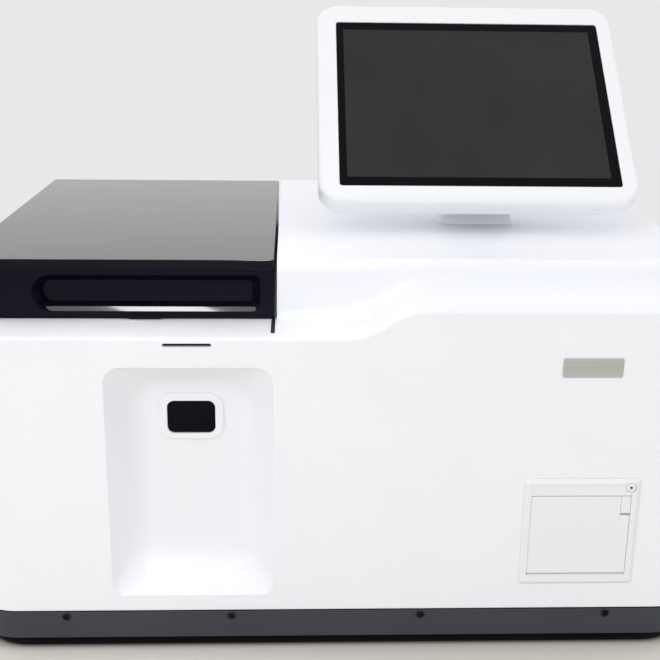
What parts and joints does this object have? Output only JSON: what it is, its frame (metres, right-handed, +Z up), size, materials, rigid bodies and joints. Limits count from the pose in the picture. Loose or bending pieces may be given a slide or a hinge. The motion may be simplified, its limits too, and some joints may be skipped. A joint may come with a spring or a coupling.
{
  "type": "fluorescence immunoassay analyzer",
  "caption": "Benchtop immunoassay analyzer: white housing, hinged black deck lid, front scanning bay, panel printer, tilting touch screen and a pipetting deck inside.",
  "frame": {"origin": "on the table, under the middle of the body's outline", "axes": "+X to the right seen from the front, +Y towards the back, +Z up"},
  "size_m": [0.625, 0.4649, 0.5237],
  "materials": {
    "shell_white": "fine-grained white moulding, satin",
    "base_charcoal": "charcoal grey moulding, matte",
    "foot_rubber": "black rubber, matte",
    "lid_gloss": "black sheet, high gloss",
    "lid_black": "black moulding, gloss",
    "ring_white": "white moulding, semi-gloss",
    "window_dark": "dark filter glass",
    "plate_metal": "brushed and anodised",
    "printer_plastic": "off-white moulding, matte",
    "paper": "thermal paper",
    "roller_rubber": "ground rubber",
    "screen_white": "white moulding, semi-gloss",
    "screen_glass": "black bordered touch glass",
    "display": "switched-off liquid crystal panel",
    "neck_grey": "light blue-grey moulding",
    "steel": "brushed",
    "black_metal": "black coated",
    "sheet_grey": "powder-coated sheet",
    "aluminium": "machined, anodised",
    "deck_plastic": "light grey moulding",
    "black_plastic": "black moulding",
    "rack_blue": "blue moulding",
    "tube_clear": "clear tube",
    "tip_clear": "milky polypropylene",
    "cartridge_white": "white strip case",
    "seal": "foam seal",
    "belt": "toothed belt",
    "board": "green circuit board"
  },
  "bodies": {
    "housing": {"base_tray": "base_charcoal", "base_screws": "black_metal", "feet": "foot_rubber", "main_cover": "shell_white", "window_ring": "ring_white", "scan_window": "window_dark", "scanner_module": "black_plastic", "card_reader": "black_plastic", "nameplate": "plate_metal", "deck_tub": "deck_plastic", "deck_gasket": "seal", "incubator_base": "aluminium", "turntable_motor": "black_metal", "reader_module": "black_plastic", "cartridge_magazine": "deck_plastic", "tip_rack": "rack_blue", "pipette_tips": "tip_clear", "bridge_rails": "steel", "drive_motor": "black_metal", "drive_belt": "belt", "lid_hinge_brackets": "steel", "printer_frame": "printer_plastic", "printer_mechanism": "black_plastic", "screen_neck": "neck_grey", "rear_panel": "sheet_grey", "rear_screws": "steel", "fan_frame": "black_plastic", "fan_guard": "steel", "power_inlet": "black_plastic", "rear_ports": "black_plastic", "power_supply": "aluminium", "control_board": "board"},
    "lid": {"lid_top": "lid_gloss", "lid_frame": "lid_black", "lid_hinge_leaves": "steel", "lid_hinge_pins": "steel"},
    "screen": {"screen_bezel": "screen_white", "screen_glass": "screen_glass", "display_panel": "display", "screen_back": "screen_white", "screen_bracket": "black_metal"},
    "incubator_disc": {"turntable": "black_metal", "turntable_shaft": "steel", "test_cartridges": "cartridge_white"},
    "bridge": {"bridge_beam": "aluminium", "bridge_blocks": "aluminium"},
    "head": {"probe_head": "black_plastic"},
    "probe": {"sample_probe": "steel"},
    "idler": {"idler_pulley": "aluminium"},
    "drive": {"motor_pulley": "aluminium"},
    "rack": {"sample_rack": "rack_blue", "sample_tubes": "tube_clear"},
    "bin": {"waste_bin": "black_plastic"},
    "printer_flap": {"printer_door": "printer_plastic"},
    "platen": {"platen_roller": "roller_rubber"},
    "roll": {"paper_roll": "paper"},
    "lever": {"printer_lever": "printer_plastic"},
    "button": {"feed_button": "ring_white"},
    "rocker": {"power_switch": "black_plastic"},
    "fan": {"fan_rotor": "black_plastic"}
  },
  "joints": [
    {"name": "lid_hinge", "type": "hinge", "parent": "housing", "child": "lid", "pos_m": [-0.183, 0.214, 0.292], "axis": [-1, 0, 0], "range_deg": [0, 75]},
    {"name": "screen_tilt", "type": "hinge", "parent": "housing", "child": "screen", "pos_m": [0.1365, -0.008, 0.372], "axis": [1, 0, 0], "range_deg": [-35, 12]},
    {"name": "disc_turn", "type": "hinge", "parent": "housing", "child": "incubator_disc", "pos_m": [-0.207, 0.005, 0.2], "axis": [0, 0, 1], "continuous": true},
    {"name": "bridge_travel", "type": "slide", "parent": "housing", "child": "bridge", "axis": [0, -1, 0], "range_m": [-0.06, 0.199]},
    {"name": "head_travel", "type": "slide", "parent": "bridge", "child": "head", "axis": [-1, 0, 0], "range_m": [0, 0.155]},
    {"name": "probe_lift", "type": "slide", "parent": "head", "child": "probe", "axis": [0, 0, -1], "range_m": [0, 0.04]},
    {"name": "drive_pulley_spin", "type": "hinge", "parent": "housing", "child": "drive", "pos_m": [-0.284, 0.176, 0.236], "axis": [1, 0, 0], "range_deg": [-390, 1285]},
    {"name": "idler_spin", "type": "hinge", "parent": "housing", "child": "idler", "pos_m": [-0.284, -0.15, 0.236], "axis": [1, 0, 0], "range_deg": [-390, 1285]},
    {"name": "rack_lift", "type": "slide", "parent": "housing", "child": "rack", "axis": [0, 0, -1], "range_m": [-0.055, 0]},
    {"name": "bin_lift", "type": "slide", "parent": "housing", "child": "bin", "axis": [0, 0, 1], "range_m": [0, 0.06]},
    {"name": "printer_door_hinge", "type": "hinge", "parent": "housing", "child": "printer_flap", "pos_m": [0.199, -0.229, 0.0729], "axis": [1, 0, 0], "range_deg": [0, 85]},
    {"name": "platen_spin", "type": "hinge", "parent": "printer_flap", "child": "platen", "pos_m": [0.1965, -0.221, 0.1337], "axis": [1, 0, 0], "continuous": true},
    {"name": "paper_roll_spin", "type": "hinge", "parent": "housing", "child": "roll", "pos_m": [0.1965, -0.194, 0.093], "axis": [1, 0, 0], "continuous": true},
    {"name": "lever_pull", "type": "hinge", "parent": "housing", "child": "lever", "pos_m": [0.2365, -0.2297, 0.1274], "axis": [1, 0, 0], "range_deg": [0, 25], "stiffness_Nm_per_rad": 0.02, "springref_deg": -11.46},
    {"name": "feed_press", "type": "slide", "parent": "housing", "child": "button", "axis": [0, 1, 0], "range_m": [0, 0.0012], "stiffness_N_per_m": 400, "springref_m": -0.0005},
    {"name": "power_rocker", "type": "hinge", "parent": "housing", "child": "rocker", "pos_m": [0.25, 0.2234, 0.095], "axis": [0, 0, -1], "range_deg": [0, 16]},
    {"name": "fan_spin", "type": "hinge", "parent": "housing", "child": "fan", "pos_m": [0.2, 0.212, 0.19], "axis": [0, 1, 0], "continuous": true}
  ],
  "couplings": [
    {"joint": "drive_pulley_spin", "follows": "bridge_travel", "rad_per_m": 112.36},
    {"joint": "idler_spin", "follows": "bridge_travel", "rad_per_m": 112.36}
  ]
}
